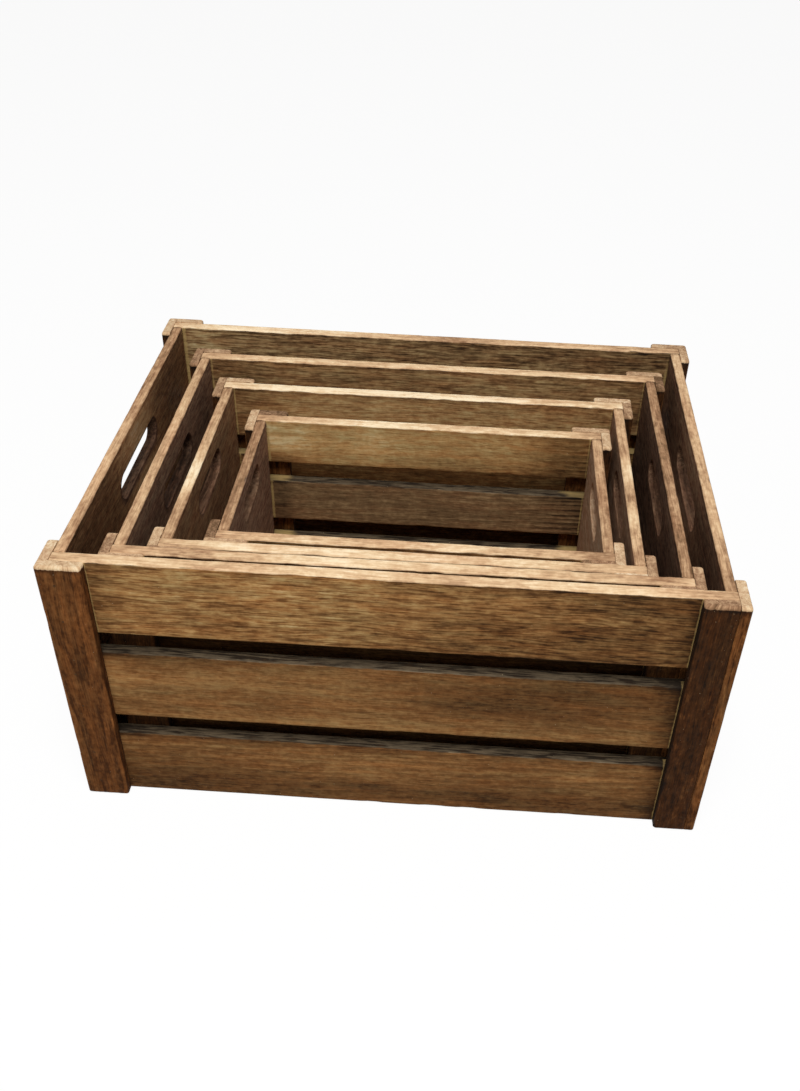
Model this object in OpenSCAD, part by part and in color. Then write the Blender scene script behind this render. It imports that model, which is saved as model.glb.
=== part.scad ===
// A nest of four slatted wooden crates. Each crate has three slats on each long side, a solid panel
// with a hand hole at each end, an L of two boards at each corner, and a boarded floor on two
// battens. Each smaller crate stands on the floor of the next larger one and lifts straight out.
// Lengths are in millimetres, +Z is up, and the origin is on the ground under the middle of the
// large crate, whose long sides run along X.

/* [Large crate] */
// Length of the slats, which is the length over the end panels' outer faces
large_length = 440; // [380:1:520]
// Depth over the outer faces of the slats
large_depth = 336; // [300:1:420]
// Height from the ground to the rim
large_height = 220; // [190:1:280]

/* [Walls] */
// Thickness of a slat
slat_t = 9.5; // [8:0.5:13]
// Gap between two slats of one side
slat_gap = 17.5; // [10:0.5:25]
// Thickness of an end panel
panel_t = 8; // [7:0.5:12]
// Radius that eases the long edges of slats, panels, floor boards and battens
board_edge_r = 1.5; // [0.5:0.25:2]

/* [Corner posts] */
// Thickness of both boards of a post
post_t = 7.5; // [6:0.5:10]
// Width of the slat ends that the face board covers
face_board_w = 23; // [16:0.5:32]
// How far the side board laps on to the end panel
side_lap = 12.5; // [8:0.5:20]
// Open seam between the two boards of a post
post_seam = 0.1; // [0.05:0.05:0.5]
// Radius that eases the long edges of the post boards
post_edge_r = 1.75; // [0.5:0.25:2.5]

/* [Hand holes] */
// Length of the large crate's hand hole
hole_length = 99; // [90:1:130]
// How much shorter the hole is in each smaller crate
hole_length_step = 13; // [0:1:16]
// Height of a hand hole
hole_height = 21.5; // [20:0.5:36]
// Distance from the large crate's rim down to its hole
hole_drop = 23.5; // [18:0.5:36]
// How much nearer to the rim the hole is in each smaller crate
hole_drop_step = 4; // [0:0.5:5]
// How far the holes lie behind the middle of their panels
hole_back = 4.5; // [-5:0.5:5]

/* [Floor] */
// Thickness of the floor boards
floor_t = 8; // [5:0.5:12]
// Width of a floor board, before the boards are trimmed to fill the floor
floor_board_w = 76; // [50:1:110]
// Gap between two floor boards
floor_gap = 3; // [1:0.5:6]
// Height of the battens under the floor
batten_h = 9; // [7:0.5:16]
// Width of the battens
batten_w = 12; // [9:0.5:20]

/* [Nest] */
// Lengthwise room between the large crate's panels and the medium crate's posts
medium_room_length = 27; // [20:1:40]
// Lengthwise room between the medium crate's panels and the small crate's posts
small_room_length = 24; // [20:1:40]
// Lengthwise room between the small crate's panels and the mini crate's posts
mini_room_length = 23; // [20:1:40]
// Room from front to back between the large crate's slats and the medium crate's posts
medium_room_depth = 26; // [14:1:32]
// Room from front to back between the medium crate's slats and the small crate's posts
small_room_depth = 20; // [14:1:32]
// Room from front to back between the small crate's slats and the mini crate's posts
mini_room_depth = 25; // [14:1:32]
// How far the medium crate's rim lies below the large crate's
medium_rim_drop = 5; // [0:0.5:12]
// How far the small crate's rim lies below the medium crate's
small_rim_drop = 6; // [0:0.5:12]
// How far the mini crate's rim lies below the small crate's
mini_rim_drop = 4; // [0:0.5:12]
// How far the medium crate stands to the right of the large crate's middle
medium_shift = 4.5; // [-8:0.5:8]
// How far the small crate stands to the right of the medium crate's middle
small_shift = -1; // [-8:0.5:8]
// How far the mini crate stands to the right of the small crate's middle
mini_shift = 7.5; // [-8:0.5:8]
// Running gap between a crate's front posts and the front slats of the crate around it
front_gap = 0.3; // [0.2:0.1:2]
// Gap between a crate and the floor that it stands on
seat_gap = 0.2; // [0.1:0.1:0.6]

/* [Brads] */
// Diameter of a brad's shank
brad_d = 1.2; // [0.8:0.1:1.4]
// Diameter of a brad's head
brad_head_d = 1.6; // [1.5:0.1:2.6]
// Thickness of a brad's head
brad_head_t = 0.8; // [0.5:0.1:1.2]
// How deep a brad bites into the last board that it enters
brad_bite = 6; // [4:0.5:6.5]

/* [Hidden] */
$fn = 48;
CRATES = ["large", "medium", "small", "mini"];
ROWS = ["bottom", "middle", "top"];
SIDES = ["front", "back"];
ENDS = ["left", "right"];
SIGNS = [-1, 1];
PIECES = [
    for (side = SIDES, row = ROWS) str(side, "_", row, "_slat"),
    for (end = ENDS) str(end, "_end_panel"),
    for (side = SIDES, end = ENDS) str(side, "_", end, "_corner_post"),
    "floor_boards", "floor_battens", "brads"
];

// What the nest takes from one crate to the next, by crate
room_length = [0, medium_room_length, small_room_length, mini_room_length];
room_depth = [0, medium_room_depth, small_room_depth, mini_room_depth];
rim_drop = [0, medium_rim_drop, small_rim_drop, mini_rim_drop];
shift = [0, medium_shift, small_shift, mini_shift];

floor_rise = batten_h + floor_t;
slat_rows = len(ROWS);
// A slat end takes two brads, this share of the slat's height above and below its middle
brad_spread = 1 / 4;
// An end panel takes this many brads along each batten
batten_brads = 3;
// A tool path that runs right through a board stands out by this much on both sides
cut_over = 1;

function crate_length(k) =
    k == 0 ? large_length : crate_length(k - 1) - 2 * (panel_t + post_t) - room_length[k];
function crate_depth(k) =
    k == 0 ? large_depth : crate_depth(k - 1) - 2 * (slat_t + post_t) - room_depth[k];
function crate_base(k) = k == 0 ? 0 : crate_base(k - 1) + floor_rise + seat_gap;
function crate_rim(k) = k == 0 ? large_height : crate_rim(k - 1) - rim_drop[k];
function crate_height(k) = crate_rim(k) - crate_base(k);
function crate_x(k) = k == 0 ? 0 : crate_x(k - 1) + shift[k];
function crate_front(k) =
    k == 0 ? -large_depth / 2 : crate_front(k - 1) + slat_t + front_gap + post_t;
function crate_y(k) = crate_front(k) + crate_depth(k) / 2;

function inner_length(k) = crate_length(k) - 2 * panel_t;
function inner_depth(k) = crate_depth(k) - 2 * slat_t;
function slat_height(k) = (crate_height(k) - (slat_rows - 1) * slat_gap) / slat_rows;
function slat_bottom(k, row) = row * (slat_height(k) + slat_gap);
function slat_middle(k, row) = slat_bottom(k, row) + slat_height(k) / 2;
function hole_middle(k) =
    crate_height(k) - hole_drop + k * hole_drop_step - hole_height / 2;
function floor_count(k) = max(1, round(inner_depth(k) / floor_board_w));
function floor_width(k) = (inner_depth(k) - (floor_count(k) - 1) * floor_gap) / floor_count(k);
function floor_middle(k, i) = (floor_width(k) - inner_depth(k)) / 2 + i * (floor_width(k) + floor_gap);

// Everything inside stands where crate k stands
module in_crate(k) {
    translate([crate_x(k), crate_y(k), crate_base(k)]) children();
}

// A rectangle about the origin whose corners are rounded
module eased_rectangle(w, h, r) {
    square([w - 2 * r, h], center = true);
    square([w, h - 2 * r], center = true);
    for (sx = SIGNS, sy = SIGNS)
        translate([sx * (w / 2 - r), sy * (h / 2 - r)]) circle(r);
}

// A board that runs along X, centred on the origin, with its long edges eased
module board_x(length, depth, height, r) {
    rotate([90, 0, 90])
        linear_extrude(length, center = true) eased_rectangle(depth, height, r);
}

// A board that runs along Y, centred on the origin, with its long edges eased
module board_y(width, length, height, r) {
    rotate([90, 0, 0])
        linear_extrude(length, center = true) eased_rectangle(width, height, r);
}

// A board that stands up from the ground, with its long edges eased
module board_z(width, depth, height, r) {
    linear_extrude(height) eased_rectangle(width, depth, r);
}

// One slat of a long side: side is -1 at the front and 1 at the back
module slat(k, side, row) {
    color("#7d5a36") in_crate(k)
        translate([0, side * (crate_depth(k) - slat_t) / 2, slat_middle(k, row)])
            board_x(crate_length(k), slat_t, slat_height(k), board_edge_r);
}

// The solid panel between the slats at one end, with its hand hole: end is -1 left and 1 right
module end_panel(k, end) {
    color("#5f4329") in_crate(k)
        translate([end * (crate_length(k) - panel_t) / 2, 0, 0])
            difference() {
                translate([0, 0, crate_height(k) / 2])
                    board_y(panel_t, inner_depth(k), crate_height(k), board_edge_r);
                translate([0, hole_back, hole_middle(k)]) hand_hole(k);
            }
}

// A slot with round ends, cut along X
module hand_hole(k) {
    straight = hole_length - k * hole_length_step - hole_height;
    rotate([90, 0, 90]) linear_extrude(panel_t + 2 * cut_over, center = true) {
        square([straight, hole_height], center = true);
        for (s = SIGNS) translate([s * straight / 2, 0]) circle(d = hole_height);
    }
}

// Two boards in an L round one corner: a face board on the slats and a side board on the end panel.
// All posts are alike and only turned, so the face board covers the side board's edge at the front
// left and at the back right, and the side board covers the face board's edge at the other corners
module corner_post(k, side, end) {
    face_covers = side == end;
    face_reach = face_covers ? post_t : -post_seam;
    side_reach = face_covers ? -post_seam : post_t;
    face_w = face_board_w + face_reach;
    side_w = slat_t + side_lap + side_reach;
    color("#573722") in_crate(k) {
        translate([
            end * (crate_length(k) / 2 + face_reach - face_w / 2),
            side * (crate_depth(k) + post_t) / 2,
            0
        ]) board_z(face_w, post_t, crate_height(k), post_edge_r);
        translate([
            end * (crate_length(k) + post_t) / 2,
            side * (crate_depth(k) / 2 + side_reach - side_w / 2),
            0
        ]) board_z(post_t, side_w, crate_height(k), post_edge_r);
    }
}

// Boards that lie lengthwise on the battens and fill the floor from slat to slat
module floor_boards(k) {
    color("#8a6a45") in_crate(k)
        for (i = [0 : floor_count(k) - 1])
            translate([0, floor_middle(k, i), batten_h + floor_t / 2])
                board_x(inner_length(k), floor_width(k), floor_t, board_edge_r);
}

// A batten along the foot of each end panel, under the ends of the floor boards
module floor_battens(k) {
    color("#6f5233") in_crate(k)
        for (end = SIGNS)
            translate([end * (inner_length(k) - batten_w) / 2, 0, batten_h / 2])
                board_y(batten_w, inner_depth(k), batten_h, board_edge_r);
}

// One brad, driven along -Z with the top of its head at the origin
module brad(through) {
    shank = through + brad_bite;
    translate([0, 0, -brad_head_t]) cylinder(d = brad_head_d, h = brad_head_t);
    translate([0, 0, brad_d - shank]) cylinder(d = brad_d, h = shank - brad_d);
    translate([0, 0, -shank]) cylinder(d1 = brad_d / 4, d2 = brad_d, h = brad_d);
}

// The brads that hold one crate together, all driven in flush
module brads(k) {
    color("#a09c94") in_crate(k) {
        slat_brads(k);
        side_board_brads(k);
        floor_brads(k);
        batten_brad_rows(k);
    }
}

// Through the face board and the slat, into the edge of the end panel
module slat_brads(k) {
    for (side = SIGNS, end = SIGNS, row = [0 : slat_rows - 1], s = SIGNS)
        translate([
            end * (crate_length(k) - panel_t) / 2,
            side * (crate_depth(k) / 2 + post_t),
            slat_middle(k, row) + s * brad_spread * slat_height(k)
        ]) rotate([-90 * side, 0, 0]) brad(post_t + slat_t);
}

// Through the side board, into the face of the end panel
module side_board_brads(k) {
    for (side = SIGNS, end = SIGNS, row = [0 : slat_rows - 1])
        translate([
            end * (crate_length(k) / 2 + post_t),
            side * (inner_depth(k) - side_lap) / 2,
            slat_middle(k, row)
        ]) rotate([0, 90 * end, 0]) brad(post_t);
}

// Through the floor boards, into the inner part of the battens
module floor_brads(k) {
    for (end = SIGNS, i = [0 : floor_count(k) - 1], s = SIGNS)
        translate([
            end * ((inner_length(k) + brad_bite - batten_w) / 2 - brad_bite),
            floor_middle(k, i) + s * brad_spread * floor_width(k),
            floor_rise
        ]) brad(floor_t);
}

// Through the foot of the end panels, into the outer part of the battens
module batten_brad_rows(k) {
    pitch = inner_depth(k) / batten_brads;
    for (end = SIGNS, i = [0 : batten_brads - 1])
        translate([
            end * crate_length(k) / 2,
            (i - (batten_brads - 1) / 2) * pitch,
            batten_h / 2
        ]) rotate([0, 90 * end, 0]) brad(panel_t);
}

for (k = [0 : len(CRATES) - 1]) {
    name = CRATES[k];
    for (s = [0, 1], row = [0 : slat_rows - 1])
        slat(k, SIGNS[s], row);
    for (e = [0, 1])
        end_panel(k, SIGNS[e]);
    for (s = [0, 1], e = [0, 1])
        corner_post(k, SIGNS[s], SIGNS[e]);
    floor_boards(k);
    floor_battens(k);
    brads(k);
}
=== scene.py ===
# %% [markdown]
# # A nest of four torched crates
# Four slatted wooden crates stand inside each other. Their boards were scorched with a flame and
# brushed, and the rims were sanded back to pale wood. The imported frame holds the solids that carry,
# lift and collide. This lesson dresses each solid with a sawn board: eased edges, a worn surface and
# a grain that runs through the wood. A box with a wood picture on it would be quicker, but its grain
# would break at every edge, so each board here is cut out of a make-believe log instead.

# %% Loading the frame
import math
import zlib
from types import SimpleNamespace

import bpy
import numpy as np
from mathutils import Matrix, Vector


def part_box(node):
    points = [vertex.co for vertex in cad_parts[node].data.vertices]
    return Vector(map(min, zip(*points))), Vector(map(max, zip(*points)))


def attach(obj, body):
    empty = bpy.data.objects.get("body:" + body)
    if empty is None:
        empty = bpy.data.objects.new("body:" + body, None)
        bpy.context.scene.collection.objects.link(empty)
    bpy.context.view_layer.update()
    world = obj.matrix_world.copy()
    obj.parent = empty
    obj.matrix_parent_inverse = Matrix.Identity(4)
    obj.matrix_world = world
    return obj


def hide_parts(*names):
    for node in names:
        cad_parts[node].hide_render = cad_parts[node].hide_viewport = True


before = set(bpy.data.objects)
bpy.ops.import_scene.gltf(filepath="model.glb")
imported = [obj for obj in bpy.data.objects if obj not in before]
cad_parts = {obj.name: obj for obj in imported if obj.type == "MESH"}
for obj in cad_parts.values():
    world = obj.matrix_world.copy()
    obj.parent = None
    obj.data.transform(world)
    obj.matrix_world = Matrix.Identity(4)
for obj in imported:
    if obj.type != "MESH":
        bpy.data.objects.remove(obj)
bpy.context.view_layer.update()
CRATES = ("large", "medium", "small", "mini")

# %% [markdown]
# ## The camera
# The photograph looks down on the crates from in front. Its focal length, place and turn came from
# fitting the crates' straight edges, so a board that has its real size falls where the photograph
# shows it. Turning a camera by hand until it looks right is the other way, but it never quite ends.

# %% Camera
PHOTO_SIZE = (800, 1091)
FOCAL_PIXELS = 1098.1
AXIS_PIXEL = (437.0, 547.1)
EYE = (0.0460, -0.7007, 0.6653)
PITCH_DOWN, YAW, ROLL = 38.02, 1.91, 2.16
SENSOR = 36.0

lens = bpy.data.cameras.new("camera")
lens.sensor_width = SENSOR
lens.lens = SENSOR * FOCAL_PIXELS / PHOTO_SIZE[1]
lens.shift_x = (PHOTO_SIZE[0] / 2 - AXIS_PIXEL[0]) / PHOTO_SIZE[1]
lens.shift_y = (AXIS_PIXEL[1] - PHOTO_SIZE[1] / 2) / PHOTO_SIZE[1]
camera = bpy.data.objects.new("camera", lens)
camera.matrix_world = (
    Matrix.Translation(EYE)
    @ Matrix.Rotation(math.radians(YAW), 4, "Z")
    @ Matrix.Rotation(math.radians(90 - PITCH_DOWN), 4, "X")
    @ Matrix.Rotation(math.radians(ROLL), 4, "Z")
)
bpy.context.scene.collection.objects.link(camera)
bpy.context.scene.camera = camera
bpy.context.scene.view_settings.view_transform = "Standard"
print("Lens of", round(lens.lens, 2), "mm, shifted by", round(lens.shift_x, 4), round(lens.shift_y, 4))

# %% [markdown]
# ## Shader maths in plain Python
# A material is a tree of small nodes. Wiring them one by one hides the idea behind the plumbing, so a
# small class wraps a socket: adding, taking away or multiplying two of them adds a Math node, and any
# other node comes from one method. A mask can then be written the way one says it, as 1 - mask.

# %% A socket that can be calculated with
class Wire:
    """A socket of a node tree. Sums, differences and products of wires each add one Math node."""

    def __init__(self, tree, socket=None):
        self.tree = tree
        self.socket = socket

    def node(self, kind, settings=None, sockets=None, out=0):
        """Adds a node of a type, sets its settings first and its sockets after, and returns an output."""
        made = self.tree.nodes.new("ShaderNode" + kind)
        for name, value in (settings or {}).items():
            if name == "stops":
                made.color_ramp.elements.remove(made.color_ramp.elements[1])
                for place, _ in value[1:]:
                    made.color_ramp.elements.new(place)
                for element, (place, colour) in zip(made.color_ramp.elements, value):
                    element.position = place
                    element.color = (*colour, 1)
            else:
                setattr(made, name, value)
        for key, value in (sockets or {}).items():
            if isinstance(value, Wire):
                self.tree.links.new(value.socket, made.inputs[key])
            else:
                made.inputs[key].default_value = value
        return Wire(self.tree, made.outputs[out])

    def math(self, operation, *values):
        """A Math node on values or wires."""
        return self.node("Math", {"operation": operation}, dict(enumerate(values)))

    def vector(self, operation, *values, out=0):
        """A Vector Math node on vectors or wires."""
        return self.node("VectorMath", {"operation": operation}, dict(enumerate(values)), out)

    def attribute(self, name, out="Fac"):
        """What a piece stores at its points under that name."""
        return self.node("Attribute", {"attribute_name": name}, out=out)

    def noise(self, stretch, detail, roughness=0.5, out="Fac"):
        """Noise over this vector, with so many lumps to the metre along each axis."""
        space = self.vector("MULTIPLY", self, stretch)
        return self.node("TexNoise", None,
                         {"Vector": space, "Scale": 1, "Detail": detail, "Roughness": roughness}, out)

    def swayed(self, stretch, reach):
        """This vector, pushed aside across the grain by noise with that reach."""
        push = self.noise(stretch, 1, out="Color")
        push = push.vector("SUBTRACT", push, (0.5, 0.5, 0.5))
        return self.vector("ADD", self, push.vector("MULTIPLY", push, (0, reach, reach)))

    def step(self, low, high):
        """0 where this is at low and 1 where it is at high, smooth between; low may be the larger."""
        return self.node("MapRange", {"interpolation_type": "SMOOTHSTEP"},
                         {"Value": self, "From Min": low, "From Max": high})

    def ramp(self, stops):
        """A colour for this value, from stops of (place, colour)."""
        return self.node("ValToRGB", {"stops": stops}, {0: self})

    def mixed(self, first, second, blend="MIX"):
        """Colour first where this is 0 and colour second where it is 1."""
        return self.node("Mix", {"data_type": "RGBA", "blend_type": blend},
                         {0: self, 6: first, 7: second}, 2)

    def __add__(self, other):
        return self.math("ADD", self, other)

    def __sub__(self, other):
        return self.math("SUBTRACT", self, other)

    def __rsub__(self, other):
        return self.math("SUBTRACT", other, self)

    def __mul__(self, other):
        return self.math("MULTIPLY", self, other)

    def __truediv__(self, other):
        return self.math("DIVIDE", self, other)

    __radd__ = __add__
    __rmul__ = __mul__


print("Wires can be added, taken away, multiplied and divided")

# %% [markdown]
# Every material here is one Principled shader. What varies over the surface reaches it as a wire, and
# what is the same everywhere is set on its socket, because a number needs no nodes.

# %% Materials
def new_material(name):
    """A material with a Principled shader: returns it, its shader node and a wire to start from."""
    material = bpy.data.materials.new(name)
    material.use_nodes = True
    shader = material.node_tree.nodes["Principled BSDF"]
    return material, shader, Wire(material.node_tree)


def feed(shader, **sockets):
    """Links wires, or sets values, on a shader's sockets; an underscore stands for a space."""
    for key, value in sockets.items():
        target = shader.inputs[key.replace("_", " ")]
        if isinstance(value, Wire):
            value.tree.links.new(value.socket, target)
        else:
            target.default_value = value


print("Materials so far:", len(bpy.data.materials))

# %% [markdown]
# ## Floor and light
# The crates stand on a plain white floor. Light that bounces softly meets it as pale card. Rays from
# the camera see it as white, and mostly as plain white that needs no light, so the ground stays white
# all over and only a soft shadow is left. Lighting it until it is white would bleach the wood too.

# %% Floor
FLOOR_REACH = 6.0
FLOOR_CARD = (0.40, 0.37, 0.33, 1)
FLOOR_WHITE_SHARE = 0.92
WHITE = (1, 1, 1, 1)


def seen_directly(wire):
    """1 for rays from the camera, a mirror or glass, and 0 for light that bounces softly."""
    path = wire.node("LightPath", out="Is Camera Ray")
    rays = path.socket.node.outputs
    glossy = Wire(wire.tree, rays["Is Glossy Ray"])
    through = Wire(wire.tree, rays["Is Transmission Ray"])
    return path.math("MAXIMUM", path, glossy.math("MAXIMUM", glossy, through))


def floor_sheet():
    """A flat square grid at height 0, whose two parameters are its x and y."""
    x, y = np.meshgrid((-FLOOR_REACH, FLOOR_REACH), (-FLOOR_REACH, FLOOR_REACH))
    corners = np.stack([x, y, np.zeros_like(x)], -1).reshape(-1, 3)
    mesh = bpy.data.meshes.new("floor")
    mesh.from_pydata(corners.tolist(), [], [(0, 1, 3, 2)])
    sheet = bpy.data.objects.new("floor", mesh)
    bpy.context.scene.collection.objects.link(sheet)
    return sheet


def floor_finish():
    """Pale card for soft light, white for the rays that look straight at it, mixed with plain white."""
    material, shader, wire = new_material("pale_floor")
    direct = seen_directly(wire)
    feed(shader, Base_Color=direct.mixed(FLOOR_CARD, WHITE), Roughness=1.0, Specular_IOR_Level=0.0)
    white = wire.node("Emission", None, {"Color": WHITE, "Strength": 1.0})
    paint = Wire(wire.tree, shader.outputs[0])
    both = wire.node("MixShader", None, {0: direct * FLOOR_WHITE_SHARE, 1: paint, 2: white})
    wire.tree.links.new(both.socket, wire.tree.nodes["Material Output"].inputs["Surface"])
    return material


floor = floor_sheet()
floor.data.materials.append(floor_finish())
print("A floor", 2 * FLOOR_REACH, "metres wide")

# %% [markdown]
# One wide soft lamp hangs high in front of the crates, so that the rims shine and the gaps between the
# slats stay dark. A weak warm sky fills the shadows. More lamps would show more of the insides, but
# they would flatten the boards.

# %% Sky and lamp
SKY_STRENGTH = 0.20
SKY_COLOUR = (1.0, 0.965, 0.92, 1)
LAMP_PLACE = (0.05, -1.05, 2.45)
LAMP_AIM = (0, -0.05, 0.15)
LAMP_SIZE = 1.0
LAMP_WATTS = 62


def sky():
    """An even warm white all round, which looks plain white from the camera."""
    world = bpy.data.worlds.new("sky")
    world.use_nodes = True
    wire = Wire(world.node_tree)
    background = world.node_tree.nodes["Background"]
    direct = seen_directly(wire)
    feed(background, Color=direct.mixed(SKY_COLOUR, WHITE),
         Strength=direct * (1 - SKY_STRENGTH) + SKY_STRENGTH)
    bpy.context.scene.world = world


def softbox(name, place, aim, size, power):
    """A square lamp of that size at a place, turned towards the point it is aimed at."""
    lamp = bpy.data.lights.new(name, "AREA")
    lamp.size = size
    lamp.energy = power
    holder = bpy.data.objects.new(name, lamp)
    holder.location = place
    holder.rotation_euler = (Vector(aim) - Vector(place)).to_track_quat("-Z", "Y").to_euler()
    bpy.context.scene.collection.objects.link(holder)


sky()
softbox("ceiling_light", LAMP_PLACE, LAMP_AIM, LAMP_SIZE, LAMP_WATTS)
print("A soft light of", LAMP_WATTS, "watts")

# %% [markdown]
# ## Boards out of a log
# Every piece of a crate is a board. Its shape is a profile, a rectangle with rounded corners, carried
# along the grain. Each point also remembers where in its log it was sawn, so that year rings and
# fibres run through the wood and come out on every side as they should. Modelling the boards as plain
# boxes with a Bevel modifier would give clean edges but no wear, so the wear is part of the formula.

# %% Waves that make the wood uneven
def seed_of(name):
    """A number that belongs to a name, the same in every run."""
    return zlib.crc32(name.encode())


def ripple(points, pitch, seed, waves=18):
    """A smooth random height about 0: the sum of sine waves whose lengths lie around the pitch.

    Each wave is the sine of a random direction times the point, plus a random phase. The sum is
    divided by the root of half the number of waves, which keeps its spread at about 1.
    """
    draw = np.random.default_rng(seed)
    turns = draw.normal(size=(3, waves)) / np.reshape(pitch, (3, 1))
    phase = draw.uniform(0, 2 * np.pi, waves)
    return np.sin(2 * np.pi * points @ turns + phase).sum(-1) / math.sqrt(waves / 2)


def dips(height, level):
    """How far a nick is in: nothing below the level, then more with the height, up to 1."""
    return np.clip(height - level, 0, 1)


print("A ripple over 5 points:", np.round(ripple(np.eye(5, 3) * 0.1, (0.1, 0.01, 0.01), 1), 2))

# %% The profile of a board
ARC_STEPS = 4
CROSS_STEP = 0.0015
LONG_STEP = 0.004
CORNERS = ((1, 1), (-1, 1), (-1, -1), (1, -1))
NO_LIMIT = 1.0
WEAR_SHARE = 0.9
BOARD_END = 0.0006


def round_corners(width, thick, radii):
    """A rectangle whose corners have a radius each: its outline, the way out, arcs and room to wear.

    Round a corner the outline is the arc's centre plus the radius times a direction that turns by 90
    degrees. Between two arcs it runs straight. The third array is 1 in the middle of an arc and 0 on
    straights, and the fourth is how deep wear may go before an arc would turn inside out.
    """
    half = np.array([width, thick]) / 2
    centres = [(half - r) * c for r, c in zip(radii, CORNERS)]
    angles = [(q + np.arange(ARC_STEPS + 1) / ARC_STEPS) * np.pi / 2 for q in range(4)]
    ways = [np.stack([np.cos(a), np.sin(a)], -1) for a in angles]
    arcs = [centre + r * way for centre, r, way in zip(centres, radii, ways)]
    outline, outward, arc, room = [], [], [], []
    for q in range(4):
        run = arcs[(q + 1) % 4][0] - arcs[q][-1]
        count = max(1, round(np.abs(run).sum() / CROSS_STEP))
        share = np.arange(1, count)[:, None] / count
        outline += [arcs[q], arcs[q][-1] + share * run]
        outward += [ways[q], np.tile(ways[q][-1], (count - 1, 1))]
        arc += [np.sin(np.linspace(0, np.pi, ARC_STEPS + 1)), np.zeros(count - 1)]
        room += [np.full(ARC_STEPS + 1, WEAR_SHARE * radii[q]), np.full(count - 1, NO_LIMIT)]
    return (np.concatenate(part) for part in (outline, outward, arc, room))


def stations(length, end_radius):
    """Places along a board and how far its outline draws in there.

    The ends are quarter circles: at an angle the place is the radius times its sine past the start of
    the easing, and the outline is in by the radius times one minus its cosine.
    """
    straight = length / 2 - end_radius
    angle = np.linspace(0, np.pi / 2, ARC_STEPS + 1)[1:]
    middle = np.linspace(-straight, straight, max(2, round(length / LONG_STEP)))
    past = straight + end_radius * np.sin(angle)
    drawn = end_radius * (1 - np.cos(angle))
    place = np.concatenate([-past[::-1], middle, past])
    return place, np.concatenate([drawn[::-1], np.zeros(len(middle)), drawn])


print("A slat has", len(stations(0.44, BOARD_END)[0]), "stations")

# %% [markdown]
# A sawn board is the profile at every station. Brushing leaves shallow furrows along the grain, and
# handling leaves nicks along the edges. Both only take wood away, so no board outgrows its box. A
# board's pith is the middle of its log: where it lay beside the board the year rings are straight
# lines, and where it lay under the face they are long arches.

# %% A board with its wear
SKIN = 0.00003
FURROW_DEPTH = 0.00012
FURROW_PITCH = (0.10, 0.005, 0.005)
NICK_DEPTH = 0.0007
NICK_PITCH = (0.035, 0.02, 0.02)
NICK_LEVEL = 1.0
LOG_REACH = 8.0
PITH_ASIDE = 0.05
PITH_DEPTH = (0.02, 0.07)
BOTH = (-1, 1)


def closed_grid(rows, columns):
    """Quads of a grid whose columns go round: each joins two rows and two neighbouring columns."""
    index = np.arange(rows * columns).reshape(rows, columns)
    side = np.roll(index, -1, 1)
    return np.stack([index[:-1], side[:-1], side[1:], index[1:]], -1).reshape(-1, 4)


def log_place(local, seed, pith=None):
    """Where each point lay in its log: along the trunk, and aside and out from the pith."""
    draw = np.random.default_rng(seed)
    along = draw.uniform(0, LOG_REACH)
    chance = (draw.uniform(-PITH_ASIDE, PITH_ASIDE), draw.uniform(*PITH_DEPTH))
    return local + (along, *(chance if pith is None else pith))


def sawn_board(low, high, grain, out, name, radii, end_radius=BOARD_END, pith=None, eased=(BOTH, BOTH)):
    """A board between two corners, as points, quads, end faces and what each point remembers.

    A point is the station along the grain plus the outline, which shrinks towards the eased ends, less
    the outward direction times the furrows and the nicks. grain is the axis that the board was sawn
    along and out the axis through its thickness. eased names the edges and the faces, below and above,
    whose ends are rounded over.
    """
    across = 3 - grain - out
    order = [grain, across, out]
    low, high = np.array(low), np.array(high)
    size = (high - low)[order]
    outline, outward, arc, room = round_corners(size[1], size[2], radii)
    place, drawn = stations(size[0], end_radius)
    flat = np.zeros((len(place), len(outline), 3))
    flat[..., 0] = place[:, None]
    flat[..., 1:] = outline
    seed = seed_of(name)
    furrows = FURROW_DEPTH * (1 + np.tanh(ripple(flat, FURROW_PITCH, seed))) / 2
    nicks = arc * dips(ripple(flat, NICK_PITCH, seed + 1), NICK_LEVEL)
    worn = flat.copy()
    worn[..., 0] -= np.sign(place)[:, None] * SKIN
    for axis, ways in ((1, eased[0]), (2, eased[1])):
        for way in ways:
            worn[..., axis] -= way * drawn[:, None] * (1 + way * flat[..., axis] / (size[axis] / 2)) / 2
    worn[..., 1:] -= outward * np.minimum(SKIN + furrows + NICK_DEPTH * nicks, room)[..., None]
    points = np.empty_like(worn)
    points[..., order] = worn + ((low + high) / 2)[order]
    facing = np.zeros_like(worn)
    facing[..., [across, out]] = outward
    rows, columns = points.shape[:2]
    quads = closed_grid(rows, columns)
    ends = [np.arange(columns)[::-1], np.arange(columns) + (rows - 1) * columns]
    if np.linalg.det(np.eye(3)[order]) < 0:
        quads = quads[:, ::-1]
        ends = [end[::-1] for end in ends]
    share = flat / size + 0.5
    return {
        "points": points.reshape(-1, 3),
        "quads": quads,
        "ends": ends,
        "log": log_place(flat, seed + 2, pith).reshape(-1, 3),
        "facing": facing.reshape(-1, 3),
        "share": share.reshape(-1, 3),
        "edge": np.tile(arc, rows),
        "chip": nicks.reshape(-1),
        "end_grain": np.repeat(drawn / end_radius, columns),
    }


trial = sawn_board((0, 0, 0), (0.44, 0.0095, 0.06), 0, 1, "trial", [0.0015] * 4)
print("A slat has", len(trial["points"]), "points and", len(trial["quads"]), "quads")

# %% [markdown]
# Several boards may make one piece, such as the two boards of a corner post. The piece keeps its place
# in its mesh, rides on its crate, and hides the solid of the same name in the frame.

# %% Boards into pieces
REMEMBERED = ("log", "bare", "streak", "rings", "rim", "warmth", "smoke", "below_rim", "from_joint",
              "facing_up", "edge", "chip", "end_grain")


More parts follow.
